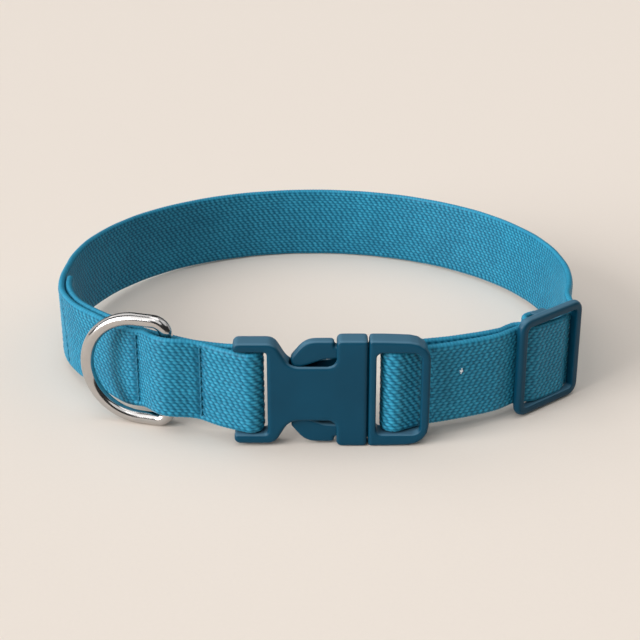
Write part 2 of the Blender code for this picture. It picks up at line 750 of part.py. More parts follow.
def hang_ring(ring, root):
    """Put the ring's bar in the webbing's tunnel, leaning like the webbing, with its bow on the floor."""
    plan = loop_point(RING_ANGLE, RING_BAR_OUT)
    up = webbing_up(plan)
    along = loop_tangent(RING_ANGLE).normalized().to_3d()
    turn = Matrix((along, up.cross(along), up)).transposed() @ Matrix.Rotation(RING_OPEN_ANGLE, 3, "Z")
    low = min((turn @ vertex.co).z for vertex in ring.data.vertices)
    level = webbing_height(plan)
    ring.parent = root
    ring.location = Vector((plan.x, plan.y, level)) + up * ((-low - level) / up.z)
    ring.rotation_euler = turn.to_euler()


def centre_on_floor(root, pieces):
    """Move the collar so that the middle of its footprint is the origin."""
    bpy.context.view_layer.update()
    depsgraph = bpy.context.evaluated_depsgraph_get()
    corners = []
    for piece in pieces:
        evaluated = piece.evaluated_get(depsgraph)
        mesh = evaluated.to_mesh()
        corners += [evaluated.matrix_world @ vertex.co for vertex in mesh.vertices]
        evaluated.to_mesh_clear()
    low = Vector([min(corner[axis] for corner in corners) for axis in range(3)])
    high = Vector([max(corner[axis] for corner in corners) for axis in range(3)])
    root.location = (-(low.x + high.x) / 2, -(low.y + high.y) / 2, -low.z)


def build_collar():
    clear_scene()
    webbing = make_material("webbing", (0.06, 0.27, 0.42), 0.85)
    plastic = make_material("plastic", (0.012, 0.065, 0.115), 0.45)
    steel = make_material("steel", (0.78, 0.77, 0.76), 0.18, 1.0)
    root = bpy.data.objects.new("collar", None)
    bpy.context.collection.objects.link(root)

    strap = build_strap(webbing)
    strap.parent = root
    socket = build_socket(plastic)
    put(socket, root, BUCKLE.origin, SHOULDER_HALF, BUCKLE.turn())
    plug = build_plug(plastic)
    put(plug, root, BUCKLE.origin, SHOULDER_HALF, BUCKLE.turn())
    slider = build_slider(plastic)
    put(slider, root, SLIDER.origin, webbing_height(SLIDER.origin), SLIDER.turn())
    ring = build_ring(steel)
    hang_ring(ring, root)
    centre_on_floor(root, [strap, socket, plug, slider, ring])


build_collar()
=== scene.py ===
"""Looks of the dog collar: woven webbing, stitches, moulded plastic and a polished steel ring.

Lengths are in metres in the CAD frame unless a name ends in _MM.
"""
import math

import bpy
import numpy as np
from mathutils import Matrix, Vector


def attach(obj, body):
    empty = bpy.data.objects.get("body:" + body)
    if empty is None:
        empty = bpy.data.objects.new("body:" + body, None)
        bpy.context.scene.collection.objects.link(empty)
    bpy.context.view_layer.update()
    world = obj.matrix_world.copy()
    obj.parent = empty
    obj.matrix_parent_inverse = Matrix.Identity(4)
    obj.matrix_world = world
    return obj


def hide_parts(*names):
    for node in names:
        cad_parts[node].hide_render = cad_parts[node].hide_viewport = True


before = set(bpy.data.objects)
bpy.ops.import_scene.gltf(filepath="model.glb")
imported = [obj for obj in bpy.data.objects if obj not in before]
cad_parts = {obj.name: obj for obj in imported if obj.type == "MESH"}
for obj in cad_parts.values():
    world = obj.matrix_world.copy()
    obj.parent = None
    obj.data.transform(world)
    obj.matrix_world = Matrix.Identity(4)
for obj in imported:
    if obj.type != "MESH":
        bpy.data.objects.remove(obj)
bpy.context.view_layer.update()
MM = 0.001

# Middle line of the whole strip of webbing, end to end: x, y, height of its middle, then the
# sideways parts of the direction across its width where it leans
ROUTE_MM = (
    (-76.8, -13.12, 14.9, 0.014, 0.002), (-76.51, -15.61, 14.97, 0.004, 0.001),
    (-76.15, -18.09, 15.04, -0.006, -0.001), (-75.61, -20.56, 15.11, -0.016, -0.005),
    (-74.91, -23.01, 15.18, -0.026, -0.009), (-74.04, -25.42, 15.25, -0.034, -0.013),
    (-73.01, -27.78, 15.31, -0.04, -0.018), (-71.8, -30.08, 15.38, -0.044, -0.022),
    (-70.45, -32.3, 15.44, -0.046, -0.025), (-68.95, -34.45, 15.5, -0.045, -0.027),
    (-67.34, -36.53, 15.56, -0.041, -0.027), (-65.64, -38.55, 15.62, -0.035, -0.026),
    (-63.85, -40.51, 15.67, -0.028, -0.022), (-62.01, -42.43, 15.73, -0.02, -0.017),
    (-60.12, -44.32, 15.78, -0.013, -0.012), (-58.2, -46.2, 15.86, -0.006, -0.007),
    (-56.22, -48.04, 15.88, -0.002, -0.002), (-54.07, -49.9, 15.86, -0, -0),
    (-52.04, -51.57, 15.88, -0, -0), (-49.72, -53.32, 15.8, -0, -0), (-48.51, -54.13, 15.75, -0, -0),
    (-47.25, -54.87, 15.7, -0, -0), (-45.95, -55.56, 15.66, -0, -0), (-44.63, -56.2, 15.62, -0, -0),
    (-43.3, -56.84, 15.6, -0, -0), (-41.98, -57.49, 15.6, -0, -0), (-40.68, -58.17, 15.61, -0, -0),
    (-39.39, -58.89, 15.63, -0, -0), (-38.11, -59.64, 15.68, -0, -0), (-36.83, -60.42, 15.74, -0, -0),
    (-35.53, -61.2, 15.81, -0, -0), (-34.21, -61.94, 15.89, -0, -0), (-32.86, -62.62, 15.98, -0, -0),
    (-31.47, -63.21, 16.07, -0, -0), (-29.45, -63.74, 16.02, -0, -0), (-26.41, -64.43, 15.98, -0, -0),
    (-23.06, -65.14, 16.11, -0, -0), (-20.1, -65.74, 16.29, -0, -0), (-18.22, -66.11, 16.39, -0, -0),
    (-17.29, -66.26, 16.4, -0, -0), (-16.45, -66.69, 16.41, -0, -0), (-15.79, -67.35, 16.43, -0, -0),
    (-15.36, -68.19, 16.45, -0, -0), (-15.22, -69.11, 16.48, -0, -0), (-15.36, -70.04, 16.5, -0, -0),
    (-15.79, -70.88, 16.5, -0, -0), (-16.45, -71.54, 16.5, -0, -0), (-17.29, -71.97, 16.5, -0, -0),
    (-18.22, -72.11, 16.5, -0, -0), (-20.2, -71.39, 16.5, -0, -0), (-23.33, -69.87, 16.5, -0, -0),
    (-26.88, -68.03, 16.5, -0, -0), (-30.1, -66.37, 16.75, -0, -0), (-32.28, -65.37, 17.02, -0, -0),
    (-33.79, -64.96, 17.21, -0, -0), (-35.42, -64.83, 17.4, -0, -0), (-37.14, -64.87, 17.56, -0, -0),
    (-38.9, -64.95, 17.69, -0, -0), (-40.63, -64.91, 17.77, -0, -0), (-42.27, -64.62, 17.8, -0, -0),
    (-43.75, -64.01, 17.8, -0, -0), (-45.04, -63.06, 17.76, -0, -0), (-46.16, -61.82, 17.68, -0, -0),
    (-47.14, -60.39, 17.56, -0, -0), (-48.03, -58.89, 17.39, -0, -0), (-48.93, -57.46, 17.18, -0, -0),
    (-49.91, -56.2, 16.95, -0, -0), (-51.04, -55.19, 16.73, -0, -0), (-53.44, -53.39, 16.32, -0, -0),
    (-55.5, -51.71, 16.06, -0, -0), (-57.67, -49.83, 15.93, -0.002, -0.002),
    (-59.68, -47.97, 15.88, -0.005, -0.005), (-61.63, -46.06, 15.83, -0.011, -0.011),
    (-63.55, -44.15, 15.77, -0.018, -0.016), (-65.42, -42.2, 15.72, -0.026, -0.021),
    (-67.23, -40.21, 15.66, -0.033, -0.025), (-68.97, -38.16, 15.61, -0.039, -0.027),
    (-70.62, -36.06, 15.55, -0.044, -0.027), (-72.16, -33.88, 15.48, -0.045, -0.026),
    (-73.56, -31.63, 15.42, -0.045, -0.023), (-74.82, -29.3, 15.36, -0.042, -0.019),
    (-75.91, -26.92, 15.29, -0.036, -0.015), (-76.85, -24.47, 15.22, -0.029, -0.01),
    (-77.61, -21.99, 15.15, -0.02, -0.006), (-78.21, -19.46, 15.08, -0.01, -0.003),
    (-78.66, -16.94, 15.01, 0, 0), (-78.98, -14.39, 14.94, 0.01, 0.002),
    (-79.19, -11.87, 14.86, 0.019, 0.002), (-79.3, -9.34, 14.79, 0.026, 0.002),
    (-79.33, -6.86, 14.72, 0.031, 0.001), (-79.31, -4.34, 14.65, 0.034, -0),
    (-79.23, -1.51, 14.57, 0.035, -0.002), (-79.08, 1.37, 14.49, 0.034, -0.003),
    (-78.82, 4.25, 14.41, 0.033, -0.004), (-78.45, 7.11, 14.33, 0.031, -0.005),
    (-77.97, 9.96, 14.25, 0.028, -0.006), (-77.38, 12.78, 14.17, 0.025, -0.006),
    (-76.69, 15.58, 14.09, 0.022, -0.006), (-75.88, 18.36, 14.01, 0.019, -0.006),
    (-74.97, 21.09, 13.94, 0.015, -0.006), (-73.95, 23.8, 13.86, 0.012, -0.005),
    (-72.83, 26.46, 13.79, 0.009, -0.004), (-71.61, 29.07, 13.71, 0.006, -0.003),
    (-70.28, 31.64, 13.64, 0.004, -0.002), (-68.86, 34.16, 13.57, 0.002, -0.001),
    (-67.34, 36.62, 13.5, 0.001, -0), (-65.72, 39.02, 13.43, 0, -0), (-64.02, 41.36, 13.37, -0, 0),
    (-62.22, 43.64, 13.3, -0, 0), (-60.34, 45.85, 13.24, -0, 0), (-58.37, 47.98, 13.18, -0, 0),
    (-56.32, 50.05, 13.12, -0, 0), (-54.19, 52.03, 13.07, -0, 0), (-51.98, 53.93, 13.01, -0, 0),
    (-49.7, 55.75, 12.96, -0, 0), (-47.35, 57.49, 12.91, -0, 0), (-44.94, 59.14, 12.86, -0, 0),
    (-42.45, 60.7, 12.82, -0, 0), (-39.92, 62.16, 12.78, -0, 0), (-37.32, 63.53, 12.74, -0, 0),
    (-34.67, 64.81, 12.71, -0, 0), (-31.98, 65.99, 12.67, -0, 0), (-29.24, 67.06, 12.64, -0, 0),
    (-26.45, 68.04, 12.61, -0, 0), (-23.63, 68.91, 12.59, -0, 0), (-20.78, 69.68, 12.57, -0, 0),
    (-17.89, 70.35, 12.55, -0, 0), (-14.99, 70.91, 12.53, -0, 0), (-12.06, 71.36, 12.52, -0, 0),
    (-9.11, 71.7, 12.51, -0, 0), (-6.15, 71.94, 12.5, -0, 0), (-3.18, 72.07, 12.5, -0, 0),
    (-0.21, 72.09, 12.5, -0, 0), (2.77, 72.01, 12.5, 0, 0), (5.74, 71.81, 12.51, 0, 0),
    (8.7, 71.51, 12.52, 0, 0), (11.65, 71.1, 12.53, 0, 0), (14.59, 70.58, 12.54, 0, 0),
    (17.51, 69.96, 12.56, 0, 0), (20.4, 69.23, 12.58, 0, 0), (23.26, 68.4, 12.6, 0, 0),
    (26.09, 67.46, 12.63, 0, 0), (28.88, 66.42, 12.66, 0, 0), (31.64, 65.29, 12.69, 0, 0),
    (34.35, 64.05, 12.73, 0, 0), (37.01, 62.72, 12.76, 0, 0), (39.62, 61.29, 12.8, 0, 0),
    (42.18, 59.77, 12.85, 0, 0), (44.68, 58.15, 12.89, 0, 0), (47.11, 56.45, 12.94, 0, 0),
    (49.48, 54.66, 12.99, 0, 0), (51.78, 52.79, 13.04, 0, 0), (54.01, 50.84, 13.1, 0, 0),
    (56.16, 48.81, 13.16, 0, 0), (58.24, 46.7, 13.22, 0, 0), (60.23, 44.52, 13.28, 0, 0),
    (62.14, 42.27, 13.34, 0, 0), (63.96, 39.96, 13.41, 0, 0), (65.7, 37.58, 13.47, 0, 0),
    (67.34, 35.14, 13.54, 0, 0), (68.89, 32.64, 13.61, 0, 0), (70.34, 30.1, 13.68, 0, 0),
    (71.69, 27.5, 13.76, 0, 0), (72.94, 24.86, 13.83, 0, 0), (74.1, 22.17, 13.91, 0, 0),
    (75.14, 19.45, 13.98, 0, 0), (76.09, 16.69, 14.06, 0, 0), (76.92, 13.9, 14.14, 0, 0),
    (77.65, 11.08, 14.22, 0, 0), (78.28, 8.24, 14.3, 0, 0), (78.79, 5.38, 14.38, 0, 0),
    (79.19, 2.51, 14.46, 0, 0), (79.48, -0.37, 14.54, 0, 0), (79.66, -3.29, 14.62, 0, 0),
    (79.73, -6.15, 14.7, 0, -0), (79.69, -8.69, 14.78, 0, -0), (79.54, -11.17, 14.85, 0, -0),
    (79.28, -13.65, 14.92, 0, -0), (78.93, -16.12, 14.98, 0, -0), (78.53, -18.59, 15.05, 0, -0),
    (78.07, -21.05, 15.12, 0, -0), (77.46, -23.4, 15.19, 0, -0), (76.94, -26, 15.26, 0, -0),
    (76.92, -28.71, 15.34, 0, -0), (77.14, -31.94, 15.43, 0, -0), (77.26, -34.96, 15.52, 0, -0),
    (76.97, -37.01, 15.57, 0, -0), (75.53, -38.25, 15.61, 0, -0), (74.28, -39.72, 15.65, 0, -0),
    (73.64, -41.89, 15.71, 0, -0), (72.68, -43.68, 15.76, 0, -0), (71.32, -45.02, 15.8, 0, -0),
    (69.88, -46.26, 15.83, 0, -0), (68.43, -47.49, 15.87, 0, -0), (66.99, -48.73, 15.9, 0, -0),
    (65.55, -49.96, 15.94, 0, -0), (64.02, -51.1, 15.97, 0, -0), (62.1, -51.78, 15.99, 0, -0),
    (59.85, -52.08, 16, 0, -0), (58.22, -53.09, 16.03, 0, -0), (56.77, -54.33, 16.06, 0, -0),
    (54.98, -56.04, 16.11, 0, -0), (52.82, -57.86, 16.16, 0, -0), (50.3, -59.3, 16.2, 0, -0),
    (47.61, -60.57, 16.24, 0, -0), (44.92, -61.78, 16.27, 0, -0), (42.19, -62.9, 16.3, 0, -0),
    (39.42, -63.96, 16.33, 0, -0), (36.62, -64.95, 16.36, 0, -0), (33.83, -65.78, 16.38, 0, -0),
    (30.95, -66.79, 16.41, 0, -0), (28.07, -68.38, 16.46, 0, -0), (25.07, -70.25, 16.5, 0, -0),
    (22.9, -71.37, 16.5, 0, -0), (21.91, -71.38, 16.5, 0, -0), (20.97, -71.06, 16.5, 0, -0),
    (20.19, -70.46, 16.5, 0, -0), (19.64, -69.63, 16.49, 0, -0), (19.39, -68.67, 16.47, 0, -0),
    (19.47, -67.69, 16.44, 0, -0), (19.87, -66.78, 16.41, 0, -0), (20.54, -66.05, 16.39, 0, -0),
    (21.41, -65.58, 16.38, 0, -0), (22.38, -65.41, 16.37, 0, -0), (24.59, -64.58, 16.35, 0, -0),
    (27.69, -63.29, 16.31, 0, -0), (30.65, -62.17, 16.28, 0, -0), (33.69, -61.36, 16.26, 0, -0),
    (36.62, -60.65, 16.24, 0, -0), (39.58, -59.79, 16.21, 0, -0), (42.52, -58.85, 16.19, 0, -0),
    (45.43, -57.82, 16.16, 0, -0), (48.29, -56.67, 16.13, 0, -0), (51.31, -55.35, 16.09, 0, -0),
    (53.81, -53.99, 16.05, 0, -0), (55.21, -52.5, 16.01, 0, -0), (56.32, -51.55, 15.98, 0, -0),
    (57.44, -50.61, 15.96, 0, -0), (58.97, -50.14, 15.94, 0, -0), (60.71, -49.93, 15.94, 0, -0),
    (62.2, -49.42, 15.92, 0, -0), (63.42, -48.6, 15.9, 0, -0), (64.55, -47.66, 15.87, 0, -0),
    (65.66, -46.71, 15.85, 0, -0), (67.4, -45.22, 15.8, 0, -0), (68.11, -44.05, 15.77, 0, -0),
    (68, -42.7, 15.73, 0, -0), (67.12, -41.67, 15.7, 0, -0), (65.8, -41.35, 15.7, 0, -0),
    (64.54, -41.87, 15.71, 0, -0), (61.58, -44.41, 15.78, 0, -0), (61.48, -47.07, 15.86, 0, -0),
)

# Webbing: half sizes, rows of yarn across it, length of one pick, and mesh cells for each
HALF_WIDTH_MM = 12.42
HALF_THICKNESS_MM = 0.97
FLAT_MM = HALF_WIDTH_MM - HALF_THICKNESS_MM
ROWS = 24
PICK_MM = 1.9
PICK_CELLS = 5
ROW_CELLS = 4
EDGE_CELLS = 6
ROUTE_SAMPLES = 12000

# Weave: shift from row to row in picks, slant of the yarns and of the gaps, depth, and the height
# that lies on the strip's own face
ROW_SHIFT = 0.40
YARN_SLANT = 0.72
YARN_SLANT_SPREAD = 0.30
GAP_SLANT = 0.75
WEAVE_DEPTH_MM = 0.26
WEAVE_LEVEL = 0.35
# Least height of a yarn and how much it varies, height in the gaps between picks, and how squarely
# a yarn rounds over across its row and dives at its ends
YARN_LEAST = 0.80
YARN_SPREAD = 0.20
GAP_HEIGHT = 0.26
ROUNDING = 0.9
DIVE = 2.4
# Unevenness of the rows in picks: jitter from row to row, and slow drift along the strip
ROW_JITTER, JITTER_TURN, JITTER_START = 0.12, 12.9898, 4.1
ROW_DRIFT, DRIFT_ALONG, DRIFT_TURN = 0.10, 0.071, 2.3
# Length of the strip on which the yarns rise to the right instead of falling
RISING_WEAVE_MM = (469.1, 526.0)
# Seeds of the scatter of yarn heights and slants
HEIGHT_SEED = 3.0
SLANT_SEED = 7.0

# Selvedge: length of one loop, offset between the two edges, depth and shading range
EDGE_PICK_MM = 1.05
EDGE_OFFSET = 0.3
EDGE_DEPTH_MM = 0.10
EDGE_LEVEL = 0.6
EDGE_SHADE = (0.40, 0.40)

# Slow waves of the faces: height in mm, then turns along, across and at the start
WAVES = ((0.05, 0.19, 0.11, 0.0), (0.04, 0.43, -0.23, 1.7))

# Places on the loop, seen from above, where the webbing hangs lower: place, the share of the strip
# to look in, and how much
DROPS_MM = (
    ((67.7, -46.7), 0.7, 0.85, 0.6),
    ((76.2, -37.4), 0.7, 0.85, 1.1),
    ((-55.0, -52.0), 0.16, 0.3, 0.9),
)
DROP_REACH_MM = 8.0

# Sewn lines, seen from above, with depth and half width in mm where they show and on the hidden
# inner layer, and the shares of the strip that hold the outer and the inner layer
SEAMS_MM = (
    ((-32.28, -65.37), (0.56, 1.5), (0.25, 0.6)),
    ((-51.04, -55.19), (0.56, 1.5), (0.25, 0.6)),
    ((-77.0, -17.6), (0.30, 0.7), (0.2, 0.6)),
    ((-73.4, -26.4), (0.30, 0.7), (0.2, 0.6)),
)
OUTER_SHARE = (0.155, 0.42)
INNER_SHARE = (0.0, 0.14)
SEAM_MARGIN_MM = 1.0
# Painted shade in the seam grooves: how much darker, and the groove depth where it is full
SEAM_SHADE = 0.75
SEAM_SHADE_FULL_MM = 0.42
# Pucker beside a sewn line: height, turns across, distance from the line and half width
PUCKER_MM, PUCKER_ACROSS, PUCKER_FROM_MM, PUCKER_WIDTH_MM = 0.07, 2.1, 2.2, 1.6

# The strip's pieces, and the distances along it where they meet out of sight
WEBBING_NAMES = ("webbing_inner_left", "webbing_left", "webbing_back", "webbing_right",
                 "webbing_inner_right")
WEBBING_CUTS_MM = (89.1, 262.0, 438.0, 542.1)

# Stitches: length, gap, distance from the edge, and the thread's size and arch
STITCH_MM = 2.0
STITCH_GAP_MM = 0.5
STITCH_MARGIN_MM = 1.4
STITCH_LIFT_MM = 0.02
STITCH_SINK = 0.55
STITCH_ARCH_MM = 0.24
STITCH_BURY_MM = 0.20
STITCH_STEPS = 7
THREAD_MM = 0.26
THREAD_SIDES = 7

# Loose fibre: place from above and across the webbing, the length before the turn to look in, the
# angle and half length of its strands, and their lift, bow and radius
FLECK_MM = (40.4, -61.4)
FLECK_ACROSS_MM = 3.4
FLECK_SEARCH_MM = (50.0, 4.0)
FLECK_STRANDS = ((1.75, 0.85), (0.55, 0.52), (2.70, 0.45))
FLECK_LIFT_MM = 0.22
FLECK_BOW_MM = 0.18
FLECK_RADIUS = 0.00013
FLECK_STEPS = 9
FLECK_SIDES = 6

# Moulded pieces: CAD node and piece, remesh size, rounds of smoothing and share of faces kept
MOULDED = (("buckle_socket", "socket_shell"), ("buckle_plug", "plug_shell"), ("slider", "slide_shell"))
VOXEL = 0.00022
SOFTENING = 14
SOFTENING_FACTOR = 0.5
KEPT_FACES = 0.30

# Ring: middle of its bar, the bar's direction, the way it lies, wire, half height, legs and corners
RING_BAR = (-0.042074, -0.061050, 0.01755)
RING_AXIS = (0.0, 0.0, 1.0)
RING_DIRECTION = (-0.96413, 0.26542, 0.0)
RING_WIRE = 0.0038
RING_HALF = 0.01565
RING_LEG = 0.0092
RING_CORNER = 0.0040
BAR_STEPS, CORNER_STEPS, LEG_STEPS, BOW_STEPS, WIRE_SIDES = 24, 14, 8, 90, 40

# Colours, linear
# Webbing by weave height: gaps darkened as painted shade, the dyed blue, and tops paler as a painted sheen
WEBBING_GAP_SHADED = (0.0060, 0.096, 0.168)
WEBBING_LOW = (0.0150, 0.178, 0.295)
WEBBING_TOP_WITH_SHEEN = (0.0370, 0.302, 0.470)
SHEEN_TINT = (0.55, 0.8, 0.95, 1.0)
THREAD_LOW = (0.012, 0.125, 0.200)
THREAD_TOP = (0.026, 0.205, 0.325)
FIBRE_LOW = (0.70, 0.78, 0.82)
FIBRE_TOP = (0.92, 0.94, 0.95)
PLASTIC_TONE = (0.0020, 0.050, 0.094)
# Paler tone painted on plastic faces that look up: a painted highlight
PLASTIC_TOP_HIGHLIGHT = (0.060, 0.150, 0.220)
STEEL_LOW = (0.50, 0.485, 0.475)
STEEL_TOP = (0.56, 0.54, 0.53)
FLOOR_TONE = (0.790, 0.710, 0.636)
WORLD_TONE = (0.04, 0.04, 0.04)

# Camera, floor and light
CAMERA_PLACE = (0.001483, -0.445013, 0.2115)
CAMERA_DOWN_DEGREES = 24.80
CAMERA_LENS = 84.49
CAMERA_SENSOR = 36.0
CAMERA_CLIP = (0.01, 100.0)
FLOOR_HALF = 4.0
FLOOR_HEIGHT = -0.00005
LIGHT_DEGREES = 40.0
# Name, azimuth from the front and to the right, elevation and strength
LIGHTS = (
    ("key_left", -60, 18, 3.30),
    ("front", 0, 48, 0.38),
    ("left_front", -45, 48, 0.60),
    ("left_back", -135, 48, 0.42),
    ("top", 0, 90, 0.70),
    ("right", 90, 48, 0.31),
    ("left_low", -120, 18, 0.29),
    ("right_low", 120, 18, 0.16),
    ("right_back", 135, 48, 0.16),
)


# The strip

def hermite(knots, values, places):
    """Smooth values at the given places, through values at the knots."""
    slopes = np.gradient(values, knots, axis=0)
    index = np.clip(np.searchsorted(knots, places, side="right") - 1, 0, len(knots) - 2)
    span = (knots[index + 1] - knots[index])[:, None]
    t = ((places - knots[index]) / span[:, 0])[:, None]
    a, b = values[index], values[index + 1]
    ma, mb = slopes[index] * span, slopes[index + 1] * span
    return (a * (2 * t**3 - 3 * t**2 + 1) + ma * (t**3 - 2 * t**2 + t)
            + b * (3 * t**2 - 2 * t**3) + mb * (t**3 - t**2))


def lengths_along(points):
    """Distance from the start to each point."""
    steps = np.linalg.norm(np.diff(points, axis=0), axis=1)
    return np.concatenate([[0.0], np.cumsum(steps)])


def near(distances, centre, width):
    """Soft bell of height 1 round a centre."""
    return np.exp(-(((distances - centre) / width) ** 2))


def nearest_station(point, plan, low, high):
    """Station whose place from above is nearest, within a range of stations."""
    gaps = np.linalg.norm(point[low:high, :2] - np.array(plan), axis=1)
    return low + int(np.argmin(gaps))


def strip_stations():
    """Evenly spaced stations along the strip: distance, place, along, across and side directions."""
    route = np.array(ROUTE_MM, float)
    knots = lengths_along(route[:, :3])
    dense = hermite(knots, route, np.linspace(0, knots[-1], ROUTE_SAMPLES))
    travelled = lengths_along(dense[:, :3])
    step = PICK_MM / PICK_CELLS
    count = int(travelled[-1] / step)
    places = np.arange(count + 1) * step
    rows = np.stack([np.interp(places, travelled, dense[:, i]) for i in range(5)], axis=1)
    point = rows[:, :3]
    for plan, first, last, drop in DROPS_MM:
        low, high = int(count * first), int(count * last)
        middle = places[nearest_station(point, plan, low, high)]
        point[:, 2] -= drop * near(places, middle, DROP_REACH_MM)
    along = np.gradient(point, axis=0)
    along[:, 2] = 0
    along /= np.linalg.norm(along, axis=1)[:, None]
    across = np.column_stack([rows[:, 3], rows[:, 4], np.sqrt(1 - rows[:, 3] ** 2 - rows[:, 4] ** 2)])
    side = np.cross(along, across)
    side /= np.linalg.norm(side, axis=1)[:, None]
    return places, point, along, across, side


def section_outline():
    """Round the strip's section: place across and through, outward direction, and which face."""

    def rounded_edge(sign):
        rows = []
        for step in range(1, EDGE_CELLS):
            turn = sign * math.pi / 2 - math.pi * step / EDGE_CELLS
            rows.append((sign * FLAT_MM + HALF_THICKNESS_MM * math.cos(turn),
                         HALF_THICKNESS_MM * math.sin(turn), math.cos(turn), math.sin(turn), 0.0))
        return rows

    across = np.linspace(-FLAT_MM, FLAT_MM, ROWS * ROW_CELLS + 1)
    rows = [(v, HALF_THICKNESS_MM, 0.0, 1.0, 1.0) for v in across] + rounded_edge(1)
    rows += [(v, -HALF_THICKNESS_MM, 0.0, -1.0, -1.0) for v in across[::-1]] + rounded_edge(-1)
    return np.array(rows)


def scattered(a, b, seed):
    """Even scatter between 0 and 1, fixed for each pair of whole numbers."""
    value = np.sin(a * 127.1 + b * 311.7 + seed * 17.3) * 43758.5453
    return value - np.floor(value)


def weave_height(u, v, face):
    """Height of the woven surface, 0 in the gaps to 1 on the yarns, at places in mm."""
    row_width = 2 * FLAT_MM / ROWS
    rising = (u > RISING_WEAVE_MM[0]) & (u < RISING_WEAVE_MM[1])
    lean = np.where(rising, -1.0, 1.0) * face
    shift = np.where(lean > 0, ROW_SHIFT, 1 - ROW_SHIFT)
    lane = (v + FLAT_MM) / row_width
    row = np.clip(np.floor(lane), 0, ROWS - 1)
    y = (lane - row) * 2 - 1
    jitter = ROW_JITTER * np.sin(row * JITTER_TURN + JITTER_START)
    drift = ROW_DRIFT * np.sin(u * DRIFT_ALONG + row * DRIFT_TURN)
    phase = u / PICK_MM + shift * row + (jitter + drift) + GAP_SLANT * y * lean / 2
    cell = np.floor(phase)
    x = (phase - cell) * 2 - 1
    size = YARN_LEAST + YARN_SPREAD * scattered(cell, row, HEIGHT_SEED)
    slant = YARN_SLANT + YARN_SLANT_SPREAD * (scattered(cell, row, SLANT_SEED) - 0.5)
    tilt = np.clip(y - slant * x * lean, -1, 1)
    round_over = np.cos(tilt * math.pi / 2) ** ROUNDING
    dive = 1 - np.abs(x) ** DIVE
    return size * round_over * (GAP_HEIGHT + (1 - GAP_HEIGHT) * dive)


def seam_places(places, point):
    """Sewn lines across the webbing: distance along, depth and half width in mm."""
    found = []
    for plan, shown, hidden in SEAMS_MM:
        for share, sizes in ((OUTER_SHARE, shown), (INNER_SHARE, hidden)):
            low, high = (int(len(places) * part) for part in share)
            found.append((places[nearest_station(point, plan, low, high)], *sizes))
    return found


def strip_surface():
    """The strip's stations, then its vertices, normals and shading values by station and outline."""
    places, point, along, across, side = strip_stations()
    outline = section_outline()
    u = places[:, None]
    v, w, out_v, out_w, face = (outline[None, :, i] for i in range(5))
    weave = weave_height(u, v, face)
    selvedge = 0.5 + 0.5 * np.cos(2 * math.pi * (u / EDGE_PICK_MM + EDGE_OFFSET * np.sign(v)))
    flat = np.abs(face) > 0.5
    # Values that paint shade and sheen into the webbing's colour: low in the gaps, selvedge hollows and
    # seam grooves
    height = np.where(flat, weave, EDGE_SHADE[0] + EDGE_SHADE[1] * selvedge)
    depth = np.where(flat, WEAVE_DEPTH_MM * (weave - WEAVE_LEVEL), EDGE_DEPTH_MM * (selvedge - EDGE_LEVEL))
    groove = np.zeros_like(u)
    for place, amount, width in seam_places(places, point):
        groove = groove + amount * near(u, place, width)
        beside = (near(u, place + PUCKER_FROM_MM, PUCKER_WIDTH_MM)
                  + near(u, place - PUCKER_FROM_MM, PUCKER_WIDTH_MM))
        depth = depth + PUCKER_MM * np.sin(v * PUCKER_ACROSS + place) * beside * flat
    inside = np.clip((HALF_WIDTH_MM - SEAM_MARGIN_MM - np.abs(v)) / SEAM_MARGIN_MM, 0, 1)
    depth = depth - groove * inside * flat
    height = height * (1 - SEAM_SHADE * np.clip(groove * inside / SEAM_SHADE_FULL_MM, 0, 1))
    wave = sum(high * np.sin(u * a + v * b + start) for high, a, b, start in WAVES)
    through = w + out_w * depth + wave
    over = v + out_v * depth
    grid = (point[:, None, :] + across[:, None, :] * over[:, :, None]
            + side[:, None, :] * through[:, :, None])
    d_along = np.gradient(grid, axis=0)
    d_round = np.roll(grid, -1, axis=1) - np.roll(grid, 1, axis=1)
    normal = np.cross(d_round, d_along)
    normal /= np.linalg.norm(normal, axis=2)[:, :, None] + 1e-12
    outward = across[:, None, :] * out_v[:, :, None] + side[:, None, :] * out_w[:, :, None]
    if np.sum(normal * outward) < 0:
        normal = -normal
    shade = np.stack([np.broadcast_to(values, grid.shape[:2]) for values in (u, v, face)], axis=2)
    return places, point, along, across, side, grid, normal, shade, height


# Meshes

def linked(name, mesh):
    """The mesh as a smooth object in the scene."""
    mesh.update()
    mesh.polygons.foreach_set("use_smooth", np.ones(len(mesh.polygons), bool))
    piece = bpy.data.objects.new(name, mesh)
    bpy.context.scene.collection.objects.link(piece)
    return piece


def grid_piece(name, grid, normal, shade, height, closed_start, closed_end):
    """One length of the strip as a mesh with its shading values and smooth normals."""
    rows, count = grid.shape[:2]
    vertices = (grid.reshape(-1, 3) * MM).astype(np.float32)
    r = np.arange(rows - 1)[:, None]
    c = np.arange(count)[None, :]
    n = (c + 1) % count
    quads = np.stack([r * count + c, r * count + n, (r + 1) * count + n, (r + 1) * count + c], axis=2)
    quads = quads.reshape(-1, 4)
    first = vertices[quads[0]]
    facing = np.cross(first[1] - first[0], first[3] - first[0])
    if np.dot(facing, normal.reshape(-1, 3)[quads[0, 0]]) < 0:
        quads = quads[:, ::-1]
    faces = quads.tolist()
    if closed_start:
        faces.append(list(range(count)))
    if closed_end:
        faces.append(list(range((rows - 1) * count, rows * count))[::-1])
    mesh = bpy.data.meshes.new(name)
    mesh.from_pydata(vertices.tolist(), [], faces)
    piece = linked(name, mesh)
    strip = mesh.attributes.new("strip", "FLOAT_VECTOR", "POINT")
    strip.data.foreach_set("vector", shade.reshape(-1).astype(np.float32))
    weave = mesh.attributes.new("weave", "FLOAT", "POINT")
    weave.data.foreach_set("value", height.reshape(-1).astype(np.float32))
    mesh.normals_split_custom_set_from_vertices(normal.reshape(-1, 3).tolist())
    return piece


